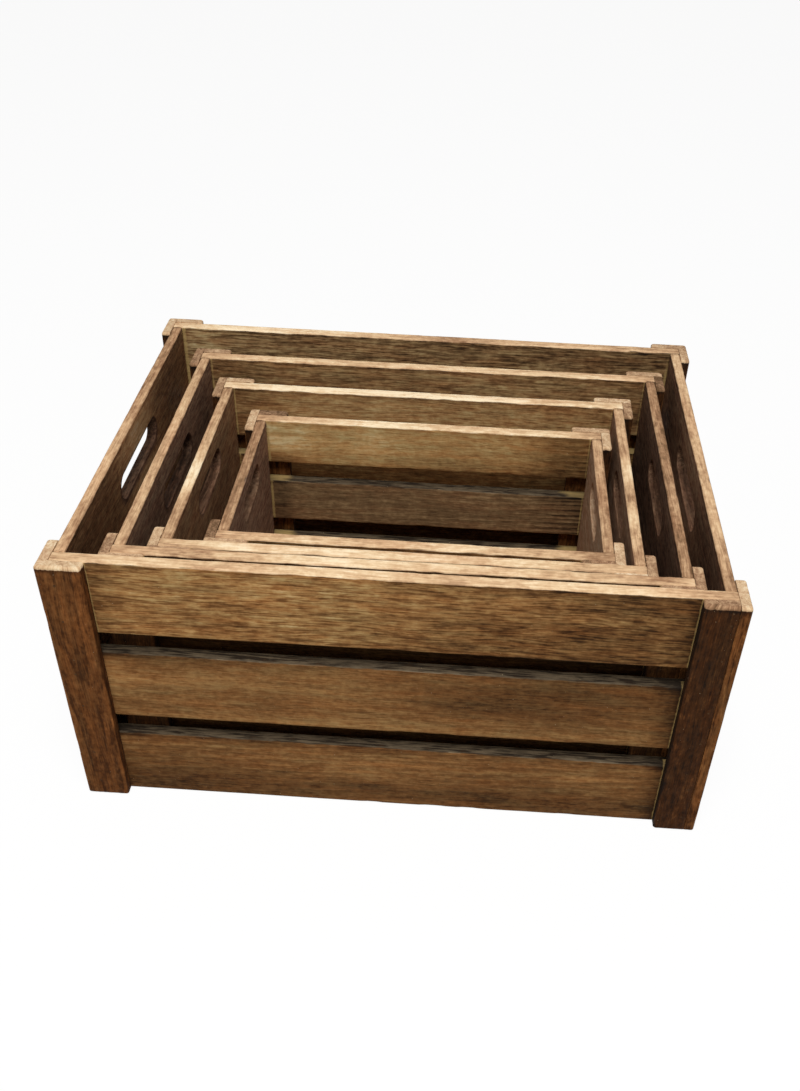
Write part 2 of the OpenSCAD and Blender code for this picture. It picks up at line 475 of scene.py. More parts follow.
def store(mesh, name, values):
    """Keeps one number, or three, for each point of a mesh."""
    kind, field = ("FLOAT_VECTOR", "vector") if values.ndim == 2 else ("FLOAT", "value")
    mesh.attributes.new(name, kind, "POINT").data.foreach_set(field, values.astype(np.float32).ravel())


def make_piece(node, boards, material):
    """One mesh of several boards, each with its points, faces and stored values one after the other."""
    start = np.cumsum([0] + [len(b["points"]) for b in boards])
    faces = []
    for first, board in zip(start, boards):
        faces += (board["quads"] + first).tolist()
        faces += [(end + first).tolist() for end in board["ends"]]
    mesh = bpy.data.meshes.new(node + "_wood")
    mesh.from_pydata(np.concatenate([b["points"] for b in boards]), [], faces)
    sizes = np.zeros(len(faces), np.int32)
    mesh.polygons.foreach_get("loop_total", sizes)
    # Quads are shaded smooth, and the end faces stay flat.
    mesh.polygons.foreach_set("use_smooth", sizes == 4)
    for name in REMEMBERED:
        store(mesh, name, np.concatenate([b[name] for b in boards]))
    mesh.materials.append(material)
    piece = bpy.data.objects.new(node + "_wood", mesh)
    bpy.context.scene.collection.objects.link(piece)
    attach(piece, node.split("_")[0] + "_crate")
    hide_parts(node)
    return piece


print("A point remembers", len(REMEMBERED), "things")

# %% [markdown]
# Each point keeps what the finish has to know: how bare the flame left the wood there, how streaky it
# is, how strongly its year rings show, and how far it lies below the rim and from the nearest joint. A
# painted mask could say the same, but values at points need no image and follow every change of size.

# %% What a board remembers
FAR = 1.0


def spotted(board, level, spots):
    """A level that rises or falls around each spot as a bell: the change times e to the minus distance.

    A spot is its place along and across the board, its reach both ways, all as shares of the board,
    and the change in its middle. The distance is squared, each way in reaches.
    """
    level = np.broadcast_to(level, len(board["points"])).astype(float)
    along, across = board["share"][:, 0], board["share"][:, 1]
    for at_along, at_across, reach_along, reach_across, change in spots:
        distance = ((along - at_along) / reach_along) ** 2 + ((across - at_across) / reach_across) ** 2
        level = level + change * np.exp(-distance)
    return level


def crate_rim(crate):
    """The height of a crate's rim, which its posts reach."""
    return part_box(crate + "_front_left_corner_post")[1].z


def remember(board, crate, bare, streak, rings, rim, warmth, smoke=0, from_joint=FAR, sanded=0):
    """Adds what the finish needs to know about each point of a board.

    The depth below the rim is the rim's height less the point's, less what the sanding took.
    """
    points = board["points"]
    board["below_rim"] = crate_rim(crate) - points[:, 2] - sanded
    board["facing_up"] = board["facing"][:, 2]
    looks = {"bare": bare, "streak": streak, "rings": rings, "rim": rim, "warmth": warmth,
             "smoke": smoke, "from_joint": from_joint}
    for name, value in looks.items():
        board[name] = np.broadcast_to(value, len(points)).astype(float)
    return board


print("Rims at", [round(crate_rim(c), 4) for c in CRATES])

# %% [markdown]
# ## Torched wood
# The finish starts as pale wood. A flame browns it, most on the soft fibres, and a brush takes off the
# loose char, so the grain stands out as dark and golden dashes. A picture of such wood would repeat and
# break off at the edges, so the unevenness is noise in the log instead, stretched along the grain: long
# for bands, shorter for dashes and lines, and hardly at all for the clouds that the flame leaves.

# %% What makes the wood uneven
SLOW_SWAY = ((6, 24, 24), 0.010)
QUICK_SWAY = ((20, 70, 70), 0.0020)
BANDS = (7, 150, 150)
CLOUDS = (12, 40, 40)
PATCHES = (24, 120, 120)
LINES = (45, 680, 680)
SPECKS = (220, 260, 260)
FRAYS = (60, 330, 330)
FRAY_REACH = 0.0024
RING_PITCH = 0.0045
RING_TAPER = -0.05
RING_SPREAD = 1.6
RING_SWAY = (1, 110, 110)


def late_wood(grain):
    """Year rings: the distance from the pith over the pitch, unevened by noise.

    Its fraction is the time of the year. The wood darkens slowly through a year, and is pale again at
    its end.
    """
    along = grain.node("SeparateXYZ", None, {0: grain})
    aside = grain.vector("MULTIPLY", grain, (0, 1, 1))
    year = (aside.vector("LENGTH", aside, out="Value") + along * RING_TAPER) / RING_PITCH
    year = year + grain.noise(RING_SWAY, 1) * RING_SPREAD
    year = year.math("FRACT", year)
    return year.step(0.15, 0.85) - year.step(0.90, 1.0)


def unevenness(wire, dash, pitch):
    """The noises of one wood, with so many dashes to the metre along and across the grain.

    fibre, lines, pore and hair are stretched along the grain, each finer than the one before. band is
    longer and softer, and cloud and speck are hardly stretched. dashes are fibres that come in patches,
    soft is bands and clouds together, and fray is how far a border wanders, in metres.
    """
    log = wire.attribute("log", "Vector")
    grain = log.swayed(*SLOW_SWAY).swayed(*QUICK_SWAY)
    fibre = grain.noise((dash, pitch, pitch), 3, 0.65).step(0.34, 0.66) - 0.5
    band = grain.noise(BANDS, 2, 0.6) - 0.5
    cloud = log.noise(CLOUDS, 3, 0.55) - 0.5
    late = late_wood(grain)
    return SimpleNamespace(
        log=log,
        grain=grain,
        fibre=fibre,
        band=band,
        cloud=cloud,
        late=late,
        rings=late * wire.attribute("rings"),
        dashes=fibre * log.noise(PATCHES, 2) * 0.32,
        soft=band * 0.36 + cloud * 0.50,
        lines=0.36 - grain.noise(LINES, 1, 0.7).step(0.44, 0.64),
        speck=log.noise(SPECKS, 2, 0.6) - 0.5,
        hair=grain.noise((0.6 * dash, 5 * pitch, 5 * pitch), 1) - 0.5,
        pore=grain.noise((2 * dash, 4 * pitch, 4 * pitch), 0).step(0.60, 0.70),
        fray=(grain.noise(FRAYS, 3) - 0.5) * FRAY_REACH,
    )


print("Year rings every", RING_PITCH * 1000, "mm")

# %% [markdown]
# A board's face. Each board says how bare the flame left it, from 0 for char to 1 for clean wood. The
# streaks, the year rings and the rubbed edges move that value up and down before a ramp turns it into a
# colour. The tint wanders between olive and red, because the flame wasn't equally hot everywhere.

# %% Burnt faces
TORCHED = (
    (0.00, (0.012, 0.0068, 0.0042)),
    (0.25, (0.061, 0.0265, 0.0096)),
    (0.50, (0.215, 0.100, 0.036)),
    (0.70, (0.415, 0.216, 0.082)),
    (0.85, (0.575, 0.343, 0.144)),
    (1.00, (0.740, 0.515, 0.270)),
)
OLIVE = (0.88, 1.06, 1.10)
RED = (1.19, 0.93, 0.72)
SMOKE = (1.12, 0.95, 1.02)
RUBS = (60, 260, 260)
HEATS = (17, 110, 110)
UNDER_RIM = (0.005, 0.0015)


def burnt_face(wire, wood, pores):
    """The ramp at bare plus streaks and rubs, less rings, pores and a dark band under the rim.

    The colour is then tinted by the heat, and greyed as far as the board is smoked.
    """
    streak = wire.attribute("streak")
    streaks = (wood.dashes + wood.soft * 0.65 + wood.lines * streak * 0.21) * streak
    streaks = streaks + wood.speck * 0.28 + wood.hair * 0.25 - wood.pore * pores
    rubbed = wire.attribute("edge") * (wood.grain.noise(RUBS, 2) - 0.46) * 0.7
    shaded = wire.attribute("below_rim").step(*UNDER_RIM) * 0.14
    level = wire.attribute("bare") + streaks - wood.rings + rubbed - shaded
    heat = wire.attribute("warmth") + (wood.log.noise(HEATS, 3, 0.6) - 0.5) * 1.2 - wood.fibre * 0.2
    tint = heat.node("Mix", {"data_type": "VECTOR"}, {0: heat, 4: OLIVE, 5: RED}, 1)
    burnt = tint.vector("MULTIPLY", tint, level.ramp(TORCHED))
    grey = burnt.node("RGBToBW", None, {0: burnt})
    smoked = grey.node("VectorMath", {"operation": "SCALE"}, {0: SMOKE, 3: grey})
    return wire.attribute("smoke").mixed(burnt, smoked)


print("The burnt ramp has", len(TORCHED), "stops")

# %% [markdown]
# Edges. The upper edges of the slats are thin and caught the flame most, so they are charred. A painted
# highlight runs along the rounded arris between the top edge and the face, where light glints on it. In
# the corners that the flame didn't reach, a strip of wood stayed yellow. Where a board faces up and how
# far it is from a joint are stored with its points.

# %% Charred edges and unburnt strips
CHAR = (0.016, 0.011, 0.007, 1)
CHAR_BRUSHED = (0.118, 0.086, 0.052, 1)
# A painted highlight: the pale glint along the rounded arris between a slat's charred top and its face.
ARRIS_GLINT = (0.30, 0.25, 0.17, 1)
UNBURNT = (0.50, 0.34, 0.13, 1)
STRIP_EDGE = (0.0017, 0.0008)


def charred_edge(wire, wood, face):
    """The face's colour, which turns into char as the board faces up, with a frayed border and a painted
    highlight on the rounded arris.
    """
    up = wire.attribute("facing_up")
    bare = wire.attribute("bare")
    char = wood.lines * 0.7 + wood.band * 0.5 + wood.fibre * 0.4 + wood.cloud * 0.6 + bare * 1.2
    char = (char - 0.03).mixed(CHAR, CHAR_BRUSHED)
    border = up + (wood.band + wood.lines * 0.3 + wood.fibre * 0.4) * 0.7
    charred = border.step(0.22, 0.85).mixed(face, char)
    # The glint is a painted highlight, on the rounding between the top edge and the face, where the wood
    # is bare.
    arris_glint = up.step(0.25, 0.42) * up.step(0.72, 0.55) * (wood.band + wood.lines * 0.5).step(0.05, 0.40)
    return (arris_glint * bare.step(0.25, 0.45) * 0.55).mixed(charred, ARRIS_GLINT)


def unburnt_strip(wire, wood, face):
    """The face's colour, but yellow wood near a joint, broken up by the clouds."""
    joint = (wire.attribute("from_joint") + wood.fray * 0.6).step(*STRIP_EDGE)
    return (joint * wood.cloud.step(-0.30, 0.05) * 0.70).mixed(face, UNBURNT)


print("Strips end", STRIP_EDGE[0] * 1000, "mm from a joint")

# %% [markdown]
# Rims. The rims were sanded after the burning, which brought back pale wood with a pink cast in places.
# End grain on the posts stays greyer. A nick or a fleck anywhere shows raw wood as well.

# %% Sanded rims
SANDED = (
    (0.00, (0.140, 0.076, 0.036)),
    (0.30, (0.360, 0.205, 0.110)),
    (0.60, (0.645, 0.422, 0.238)),
    (0.80, (0.790, 0.575, 0.345)),
    (1.00, (0.930, 0.760, 0.520)),
)
PINK = (0.94, 0.84, 0.82, 1)
END_GRAIN = (0.86, 0.87, 0.90, 1)
RAW_CHIP = (0.50, 0.38, 0.23, 1)
PINK_CLOUDS = (15, 70, 70)
FLECKS = (800, 800, 800)


def sanded_rim(wire, wood):
    """The sanded ramp at the rim's own level, moved by the same noises as the burnt faces."""
    level = wood.dashes * 1.2 + wood.lines * 0.13 + wood.speck * 0.45 + wood.hair * 0.4
    level = wire.attribute("rim") + level + wood.soft * 1.2 - wood.rings * 0.8
    pink = wood.log.noise(PINK_CLOUDS, 2).step(0.46, 0.68) * 0.5
    pale = pink.mixed(level.ramp(SANDED), PINK, "MULTIPLY")
    return wire.attribute("end_grain").mixed(pale, END_GRAIN, "MULTIPLY")


def raw_chips(wire, wood):
    """1 in the deepest nicks and in a few tiny flecks, and 0 elsewhere."""
    chip = (wire.attribute("chip") + wood.hair * 0.5).step(0.80, 1.05)
    return chip.math("MAXIMUM", chip, wood.log.noise(FLECKS, 0).step(0.86, 0.88))


print("The sanded ramp has", len(SANDED), "stops")

# %% [markdown]
# The finish puts these together: char and strips over the burnt face, the sanded rim over them, and
# chips over all. One function makes the woods of all four kinds of board, which differ only in how many
# dashes there are to the metre and how deep their pores look.

# %% Four woods
SANDED_EDGE = (0.0014, 0.0007)


def torched_wood(name, dash, pitch, pores):
    """Brushed torched wood with so many dashes to the metre along and across the grain, and pores."""
    material, shader, wire = new_material(name)
    wood = unevenness(wire, dash, pitch)
    colour = charred_edge(wire, wood, burnt_face(wire, wood, pores))
    colour = unburnt_strip(wire, wood, colour)
    sanded = (wire.attribute("below_rim") + wood.fray).step(*SANDED_EDGE)
    colour = sanded.mixed(colour, sanded_rim(wire, wood))
    colour = (raw_chips(wire, wood) * 0.7).mixed(colour, RAW_CHIP)
    height = wood.fibre * 0.4 + wood.hair * 0.5 - wood.pore * 0.5 - wood.late * 0.1
    bump = wire.node("Bump", None, {"Strength": 0.4, "Distance": 0.0004, "Height": height})
    feed(shader, Base_Color=colour, Roughness=0.72 - wood.fibre * 0.14 + sanded * 0.08, Normal=bump)
    feed(shader, Specular_IOR_Level=0.08)
    return material


slat_wood = torched_wood("torched_slat_wood", dash=85, pitch=230, pores=0.05)
panel_wood = torched_wood("torched_panel_wood", dash=110, pitch=230, pores=0.08)
post_wood = torched_wood("torched_post_wood", dash=120, pitch=260, pores=0.04)
floor_wood = torched_wood("torched_floor_wood", dash=80, pitch=220, pores=0.06)
print("Woods:", [m.name for m in (slat_wood, panel_wood, post_wood, floor_wood)])

# %% [markdown]
# ## Slats
# Three slats close each long side. They are nailed between the corner posts outside and the ends of
# the end panels inside, and the flame didn't reach into those two corners, which left pale strips.
# No two slats are burnt alike: each look is how bare, how streaky and how ringed the board is, how pale
# its rim, how warm its tint and how smoked it is.

# %% How each slat is burnt
SLAT_BARE = 0.52
# bare, streak, rings, rim, warmth, smoke
SLAT_LOOKS = {
    "large_front_top": (0.64, 1.0, 0.03, 0.74, 0.38, 0.0),
    "large_front_middle": (0.54, 0.48, 0.03, 0.50, 0.38, 0.0),
    "large_front_bottom": (0.53, 0.48, 0.05, 0.50, 0.42, 0.0),
    "medium_front_top": (0.40, 0.7, 0.03, 0.70, 0.30, 0.0),
    "medium_front_middle": (0.38, 0.6, 0.04, 0.60, 0.35, 0.0),
    "medium_front_bottom": (0.38, 0.6, 0.04, 0.60, 0.35, 0.0),
    "small_front_top": (0.50, 0.7, 0.03, 0.76, 0.30, 0.0),
    "mini_front_top": (0.50, 0.7, 0.03, 0.62, 0.30, 0.0),
    "large_back_top": (0.57, 1.1, 0.04, 0.62, 0.10, 0.08),
    "medium_back_top": (0.58, 0.9, 0.04, 0.75, 0.20, 0.06),
    "small_back_top": (0.66, 0.8, 0.03, 1.00, 0.28, 0.04),
    "mini_back_top": (0.80, 0.5, 0.03, 0.70, 0.24, 0.0),
    "mini_back_middle": (0.52, 0.5, 0.04, 0.50, 0.10, 0.12),
}
PLAIN_SLAT = (SLAT_BARE, 0.7, 0.04, 0.60, 0.35, 0.0)
print(len(SLAT_LOOKS), "slats have looks of their own")

# %% [markdown]
# The boards that show most have marks as well: soft spots that are paler or darker than the rest, given
# by their place on the board, so that they stay there when a crate changes its size. On the three large
# front slats the dark spot at the right end is painted shadow beside the right post.

# %% Marks and painted shadow on the slats
# A spot with this reach covers the whole board that way.
WHOLE = 9.0
SCORCHED_EDGE = ((0.5, 1.0, WHOLE, 0.05, -0.15), (0.04, 1.0, 0.06, 0.06, -0.25),
                 (0.96, 1.0, 0.06, 0.06, -0.25))
# along, across, reach along, reach across, change
# The spot at 0.97 along on each large front slat is painted shadow beside the right post.
SLAT_SPOTS = {
    "large_front_top": ((0.05, 0.5, 0.035, WHOLE, -0.14), (0.33, 0.6, 0.15, WHOLE, 0.05),
                        (0.63, 0.5, 0.10, WHOLE, -0.08), (0.88, 0.5, 0.15, WHOLE, -0.22),
                        (0.97, 0.5, 0.035, WHOLE, -0.30), (0.75, 0.05, 0.30, 0.2, -0.08),
                        (0.79, 0.4, 0.05, 0.10, -0.12), (0.24, 0.3, 0.06, 0.15, -0.10),
                        (0.64, 0.5, 0.04, 0.12, -0.12), (0.86, 0.2, 0.07, 0.2, 0.10),
                        (0.4, 0.85, 0.4, 0.25, 0.03)),
    "large_front_middle": ((0.5, 0.08, WHOLE, 0.12, 0.05), (0.22, 0.7, 0.22, 0.35, 0.08),
                           (0.78, 0.72, 0.24, 0.35, -0.17), (0.5, 0.60, WHOLE, 0.04, 0.06),
                           (0.97, 0.5, 0.035, WHOLE, -0.37), (0.3, 0.35, 0.04, 0.3, -0.05),
                           (0.20, 0.93, 0.15, 0.14, -0.13), (0.62, 0.5, 0.10, 0.15, -0.12),
                           (0.05, 0.6, 0.05, 0.25, 0.10), (0.32, 0.05, 0.14, 0.15, 0.07),
                           (0.48, 0.5, 0.14, WHOLE, 0.04)),
    "large_front_bottom": ((0.5, 0.18, WHOLE, 0.22, -0.14), (0.5, 0.84, WHOLE, 0.03, 0.06),
                           (0.5, 0.70, WHOLE, 0.03, 0.06), (0.67, 0.2, 0.03, 0.12, -0.12),
                           (0.97, 0.5, 0.035, WHOLE, -0.35), (0.47, 0.3, 0.04, 0.08, -0.13),
                           (0.46, 0.92, 0.09, 0.10, -0.09), (0.80, 0.7, 0.05, 0.10, 0.08),
                           (0.10, 0.5, 0.12, WHOLE, -0.05), (0.48, 0.4, 0.16, WHOLE, 0.04)),
    "large_back_top": ((0.34, 0.5, 0.02, 0.2, 0.12), (0.43, 0.5, 0.02, 0.25, 0.12),
                       (0.06, 0.5, 0.05, 2.0, 0.10), (0.8, 0.5, 0.15, 2.0, -0.06)),
    "medium_back_top": ((0.5, 0.3, WHOLE, 0.2, -0.10), (0.6, 0.8, 0.2, 0.3, 0.05),
                        (0.08, 0.8, 0.05, 0.4, -0.12), (1.0, 0.8, 0.10, 0.4, -0.12)),
    "small_back_top": ((0.05, 0.5, 0.06, 2.0, -0.12), (0.3, 0.5, 0.12, 2.0, 0.06),
                       (0.9, 0.5, 0.12, 2.0, -0.06)),
    "mini_back_top": ((0.09, 0.6, 0.06, 0.35, 0.18), (0.07, 0.70, 0.05, 0.06, -0.25),
                      (0.06, 0.10, 0.06, 0.15, -0.30), (0.97, 0.5, 0.14, WHOLE, -0.24),
                      (0.6, 0.05, 0.5, 0.2, -0.15), (0.62, 0.5, 0.12, WHOLE, -0.03),
                      (0.86, 0.5, 0.08, WHOLE, -0.08), (0.03, 0.85, 0.05, 0.4, 0.10),
                      (0.33, 0.5, 0.06, WHOLE, 0.06), (0.78, 0.1, 0.2, 0.3, -0.06)),
    "mini_back_middle": ((0.06, 0.5, 0.03, WHOLE, -0.16),),
}
SLAT_RINGS = {
    "mini_back_top": ((1.0, 0.45, 0.09, 0.5, 0.20),),
    "mini_back_middle": ((1.0, 0.5, 0.16, 2.0, 0.28),),
}
# Painted shade: every rim is darkened towards both ends, where the light falls off.
RIM_END_SHADE = ((0.0, 0.5, 0.10, WHOLE, -0.16), (1.0, 0.5, 0.09, WHOLE, -0.20))
RIM_SPOTS = {
    "large_back_top": ((0.14, 0.5, 0.18, WHOLE, 0.34), (0.56, 0.5, 0.07, WHOLE, -0.25),
                       (1.0, 0.5, 0.09, WHOLE, 0.15)),
    "large_front_top": ((0.22, 0.5, 0.06, WHOLE, -0.12), (0.42, 0.5, 0.07, WHOLE, 0.10),
                        (0.59, 0.5, 0.07, WHOLE, -0.12), (0.82, 0.5, 0.08, WHOLE, 0.14),
                        (1.0, 0.5, 0.05, WHOLE, -0.12)),
    "medium_front_top": ((0.16, 0.5, 0.09, WHOLE, -0.20), (0.38, 0.5, 0.08, WHOLE, 0.12),
                         (0.90, 0.5, 0.06, WHOLE, -0.16)),
    "small_front_top": ((0.06, 0.5, 0.07, WHOLE, -0.14), (0.86, 0.5, 0.07, WHOLE, -0.16)),
    "small_back_top": ((0.82, 0.5, 0.08, WHOLE, -0.25),),
    "medium_back_top": ((0.12, 0.5, 0.12, WHOLE, -0.14),),
    "mini_back_top": ((0.40, 0.5, 0.14, WHOLE, 0.16),),
    "mini_front_top": ((0.62, 0.5, 0.06, WHOLE, 0.15),),
}
print(sum(len(spots) for spots in SLAT_SPOTS.values()), "spots on slats")

# %% [markdown]
# A slat is one board along X. Besides its look and its marks it needs the distance from its joints. They
# lie apart on its two faces: a post covers more of the outer face than a panel does of the inner one.

# %% Slats
BOARD_EDGE = 0.0015
FACE_BOARD = 0.023
PANEL_THICK = 0.008
OUTER_STRIP_OFF = 0.0008
INNER_STRIP = {"large": 1.9, "medium": 1.0, "small": 0.9, "mini": 1.3}
RIGHT_STRIP = 0.7
LEDGE_STRIP = 12
PITH_BESIDE = (0.12, 0.01)
FACES_UP = 0.5
FACES_BACK = 0.1


def slat(crate, side, row):
    """A board along X; its joints are the post's edge on its outer face and the panel on its inner one.

    The distance from a joint is divided by how wide its strip is. Faces towards the back carry no spots.
    """
    node = f"{crate}_{side}_{row}_slat"
    key = f"{crate}_{side}_{row}"
    low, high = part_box(node)
    pith = PITH_BESIDE if key in SLAT_RINGS else None
    board = sawn_board(low, high, 0, 1, node, [BOARD_EDGE] * 4, pith=pith)
    middle = (low.x + high.x) / 2
    reach = (high.x - low.x) / 2 - np.abs(board["points"][:, 0] - middle)
    outer = board["facing"][:, 1] * (-1 if side == "front" else 1) > 0
    strip = INNER_STRIP[crate] * np.where(board["points"][:, 0] > middle, RIGHT_STRIP, 1)
    strip = np.where((board["facing"][:, 2] > FACES_UP) & (crate != "large"), LEDGE_STRIP, strip)
    dark_end = (board["points"][:, 0] < middle) & (row != "top")
    from_joint = np.where(outer, reach - FACE_BOARD + np.where(dark_end, FAR, OUTER_STRIP_OFF),
                          np.abs(reach - PANEL_THICK) / strip)
    bare, streak, rings, rim, warmth, smoke = SLAT_LOOKS.get(key, PLAIN_SLAT)
    hidden = board["facing"][:, 1] > FACES_BACK
    spots = SLAT_SPOTS.get(key, ()) + (() if row == "top" else SCORCHED_EDGE)
    bare = np.where(hidden, SLAT_BARE, spotted(board, bare, spots))
    rings = spotted(board, rings, SLAT_RINGS.get(key, ()))
    rim = spotted(board, rim, RIM_END_SHADE + RIM_SPOTS.get(key, ()))
    remember(board, crate, bare, streak, rings, rim, warmth, smoke, from_joint)
    return make_piece(node, [board], slat_wood)


slats = [slat(c, s, r) for c in CRATES for s in ("front", "back") for r in ("bottom", "middle", "top")]
print(len(slats), "slats")

# %% [markdown]
# ## End panels
# A solid panel closes each end, with a round-ended hand hole. Cutting the hole with a Boolean would
# leave long thin faces, so the panel is one grid instead: rays run from the hole's outline to the
# panel's outline on the outer face, over the edge, and back on the inner face to the hole.

# %% Rays and section
HOLE_LENGTH, HOLE_LENGTH_STEP = 0.099, 0.013
HOLE_HEIGHT = 0.0215
HOLE_DROP, HOLE_DROP_STEP = 0.0235, 0.004
HOLE_BACK = 0.0045
HOLE_EASE = 0.0004
FACE_ROWS = 30
WALL_ROWS = 4
FEWEST_RAYS = 8
QUARTER = np.linspace(0, np.pi / 2, ARC_STEPS + 1)


def ray_ends(half_long, half_high, hole_straight, middle):
    """Where rays start on a slot's outline and end on a rectangle's, with the slot's direction outwards.

    Both outlines are walked at the same pace, a quarter for each side of the rectangle. The slot is a
    straight core plus its radius times the direction, which turns only round its two ends.
    """
    long_count = max(FEWEST_RAYS, round(half_long * 2 / LONG_STEP))
    high_count = max(FEWEST_RAYS, round(half_high * 2 / LONG_STEP))
    s = np.linspace(-1, 1, long_count, endpoint=False)
    t = np.linspace(-1, 1, high_count, endpoint=False)
    one_s, one_t = np.ones_like(s), np.ones_like(t)
    edge = np.concatenate([
        np.stack([s, -one_s], -1), np.stack([one_t, t], -1),
        np.stack([-s, one_s], -1), np.stack([-one_t, -t], -1),
    ])
    turn = np.concatenate([-np.pi / 2 * one_s, t * np.pi / 2, np.pi / 2 * one_s, np.pi + t * np.pi / 2])
    core = np.stack([edge[:, 0] * hole_straight + HOLE_BACK, np.full(len(edge), middle)], -1)
    direction = np.stack([np.cos(turn), np.sin(turn)], -1)
    return edge, core, direction


def section(thick, radius, ease):
    """The walk from the hole's wall over one face and the edge to the other face and back.

    Each step has a depth through the board, a share of the way from the hole to the edge, and how far
    it is drawn out from the hole and in from the edge. Roundings are quarter circles, from the sine and
    the cosine of an angle.
    """
    half = thick / 2
    sine, cosine = np.sin(QUARTER), np.cos(QUARTER)
    share = np.linspace(0, 1, FACE_ROWS)[1:-1]
    wall = np.linspace(-half + ease, half - ease, WALL_ROWS)[1:-1]
    rim = np.linspace(half - radius, radius - half, WALL_ROWS)[1:-1]
    up = half - ease * (1 - sine)
    over = half - radius * (1 - cosine)
    hole_off = ease * (1 - cosine)
    edge_in = radius * (1 - sine)
    walk = (
        (wall, 0, 0, radius),
        (up, 0, hole_off, radius),
        (half, share, ease, radius),
        (over, 1, ease, edge_in),
        (rim, 1, ease, 0),
        (-over[::-1], 1, ease, edge_in[::-1]),
        (-half, share[::-1], ease, radius),
        (-up[::-1], 0, hole_off[::-1], radius),
    )
    return [np.concatenate(column) for column in zip(*(np.broadcast_arrays(*step) for step in walk))]


print("A panel's section has", len(section(PANEL_THICK, BOARD_EDGE, HOLE_EASE)[0]), "steps")

# %% [markdown]
# The panel puts the section on every ray. It gets the same furrows and nicks as the sawn boards, and it
# knows which of its points lie on the hole's wall, because those have a burn of their own.

# %% A panel with a hand hole
def holed_board(low, high, name, hole_straight, hole_radius, hole_z):
    """A panel across X with its grain along Y: every ray of the outline, at every step of the section."""
    middle = (np.array(low) + high) / 2
    half = (np.array(high) - low) / 2
    hole_up = hole_z - middle[2]
    edge, core, direction = ray_ends(half[1], half[2], hole_straight, hole_up)
    depth, way, hole_off, edge_in = (a[:, None] for a in section(2 * half[0], BOARD_EDGE, HOLE_EASE))
    start = core + direction * (hole_radius + hole_off)[..., None]
    stop = edge * np.stack([half[1] - edge_in, half[2] - edge_in], -1)
    flat = np.empty((len(depth), len(edge), 3))
    flat[..., [0, 1]] = start + way[..., None] * (stop - start)
    flat[..., 2] = depth
    seed = seed_of(name)
    arc = np.clip(1 - np.abs(half[0] - BOARD_EDGE / 2 - np.abs(flat[..., 2])) / BOARD_EDGE, 0, 1)
    arc = arc * (way == 1)
    nicks = arc * dips(ripple(flat, NICK_PITCH, seed + 1), NICK_LEVEL)
    furrows = FURROW_DEPTH * (1 + np.tanh(ripple(flat, FURROW_PITCH, seed))) / 2
    worn = flat.copy()
    worn[..., 2] -= np.sign(depth) * np.minimum(SKIN + furrows, np.abs(depth))
    worn[..., :2] -= (edge * (SKIN + NICK_DEPTH * nicks)[..., None]) * way[..., None]
    points = np.stack([worn[..., 2], worn[..., 0], worn[..., 1]], -1) + middle
    rows, columns = flat.shape[:2]
    index = np.arange(rows * columns).reshape(rows, columns)
    below, side = np.roll(index, -1, 0), np.roll(index, -1, 1)
    quads = np.stack([index, below, np.roll(below, -1, 1), side], -1).reshape(-1, 4)
    facing = np.zeros_like(flat)
    on_edge = (way == 1) & (np.abs(flat[..., 2]) < half[0] - BOARD_EDGE / 2)
    facing[..., 2] = np.where(on_edge & (edge[:, 1] == 1), 1.0, 0.0)
    facing[..., 0] = np.where(on_edge, 0, np.sign(depth))
    size = 2 * half[[1, 2, 0]]
    return {
        "points": points.reshape(-1, 3),
        "quads": quads,
        "ends": [],
        "log": log_place(flat, seed + 2).reshape(-1, 3),
        "facing": facing.reshape(-1, 3),
        "share": (flat / size + 0.5).reshape(-1, 3),
        "edge": arc.reshape(-1),
        "chip": nicks.reshape(-1),
        "end_grain": np.zeros(rows * columns),
        "wall": np.broadcast_to(way == 0, flat.shape[:2]).reshape(-1),
    }


blank = holed_board((0, 0, 0), (PANEL_THICK, 0.33, 0.21), "trial", 0.04, 0.01, 0.17)
print("A panel has", len(blank["points"]), "points")

# %% [markdown]
# The panels were burnt darker inside, where the flame came back from the corner. Their rims were
# sanded less than the slats', and one or two got a hard rub that left a cream patch.

# %% Panels
PANEL_OUTSIDE = 0.52
PANEL_STREAK, PANEL_RINGS, PANEL_WARMTH = 0.7, 0.04, 0.5
WALL_SMOKE = 0.30
# bare inside, rim, smoke inside, bare in the hole
PANEL_LOOKS = {
    "large_left": (0.48, 0.48, 0.15, 0.32), "medium_left": (0.56, 0.46, 0.35, 0.27),
    "small_left": (0.62, 0.45, 0.20, 0.46), "mini_left": (0.60, 0.26, 0.40, 0.50),
    "large_right": (0.43, 0.56, 0.30, 0.48), "medium_right": (0.40, 0.29, 0.35, 0.45),
    "small_right": (0.66, 0.46, 0.35, 0.54), "mini_right": (0.78, 0.44, 0.35, 0.84),
}
PANEL_SPOTS = {
    "large_left": ((0.52, 0.90, 0.16, 0.5, 0.40),),
    "large_right": ((0.5, 0.9, 0.2, 0.5, 0.24),),
}
PANEL_RIM_SPOTS = {
    "small_left": ((0.38, 1.0, 0.14, WHOLE, 0.50),),
    "small_right": ((0.55, 1.0, 0.09, WHOLE, 0.48), (0.25, 1.0, 0.08, WHOLE, 0.20)),
    "large_right": ((0.0, 1.0, 0.16, WHOLE, -0.22),),
    "large_left": ((1.0, 1.0, 0.25, WHOLE, -0.14),),
}
PANEL_JOINT_OFF = 0.001


